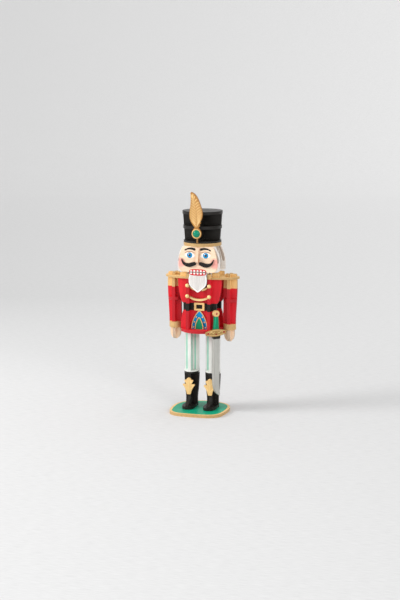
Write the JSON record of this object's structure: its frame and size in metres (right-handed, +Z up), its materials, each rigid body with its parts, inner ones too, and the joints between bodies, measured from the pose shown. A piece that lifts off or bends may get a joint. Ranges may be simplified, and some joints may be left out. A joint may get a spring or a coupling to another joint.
{
  "type": "nutcracker_figure",
  "caption": "Slot-together painted plywood nutcracker soldier, 221 mm tall, with plumed hat, sword and a lever-worked jaw.",
  "frame": {"origin": "underside of the base, on the upright axis of the hat, torso and arms", "axes": "+X to the figure's own left, +Y to its back, +Z up"},
  "size_m": [0.076, 0.0642, 0.221],
  "materials": {
    "red_ply": "3 mm plywood painted crimson, satin",
    "black_ply": "3 mm plywood painted black, satin",
    "white_ply": "3 mm plywood painted white with mint stripes, black boots below",
    "gold_ply": "plywood painted antique gold",
    "green_ply": "plywood painted emerald green",
    "blue_ply": "veneer painted blue with gold border",
    "skin_ply": "plywood painted skin tone, printed features",
    "hair_ply": "plywood painted grey-white hair",
    "bare_ply": "bare birch",
    "steel_ply": "plywood painted pale grey",
    "red_gem": "faceted acrylic stone",
    "green_gem": "domed acrylic stone"
  },
  "bodies": {
    "figure": {"apron_centre": "green_ply", "apron_panel": "blue_ply", "arm_front_left": "red_ply", "arm_front_right": "red_ply", "arm_side_left": "red_ply", "arm_side_right": "red_ply", "base_plate": "green_ply", "belt_buckle": "gold_ply", "boot_crest_left": "gold_ply", "boot_crest_right": "gold_ply", "boot_sole_left": "black_ply", "boot_sole_right": "black_ply", "coat_buttons": "gold_ply", "cuff_left": "gold_ply", "cuff_right": "gold_ply", "elbow_left": "red_ply", "elbow_right": "red_ply", "face": "skin_ply", "feather": "gold_ply", "feather_jewel": "green_gem", "garland_lower": "gold_ply", "garland_upper_left": "gold_ply", "garland_upper_right": "gold_ply", "hair_back": "hair_ply", "hair_front": "hair_ply", "hat_band": "gold_ply", "hat_brim": "black_ply", "hat_front": "black_ply", "hat_ring": "black_ply", "hat_side": "black_ply", "hat_top": "black_ply", "head_side_left": "hair_ply", "head_side_right": "hair_ply", "hem_left": "white_ply", "hem_right": "white_ply", "jaw_pin": "bare_ply", "leg_front_left": "white_ply", "leg_front_right": "white_ply", "leg_side_left": "white_ply", "leg_side_right": "white_ply", "moustache_left": "black_ply", "moustache_right": "black_ply", "nose": "skin_ply", "shoulder_board": "gold_ply", "side_frame_left": "red_ply", "side_frame_right": "red_ply", "skirt_disc": "red_ply", "sword": "steel_ply", "sword_gems": "red_gem", "sword_guard": "gold_ply", "torso_back": "red_ply", "torso_front": "red_ply"},
    "jaw": {"jaw_beard": "hair_ply", "jaw_lever": "bare_ply"}
  },
  "joints": [
    {"name": "jaw_hinge", "type": "hinge", "parent": "figure", "child": "jaw", "pos_m": [0, 0, 0.12], "axis": [1, 0, 0], "range_deg": [0, 18]}
  ]
}
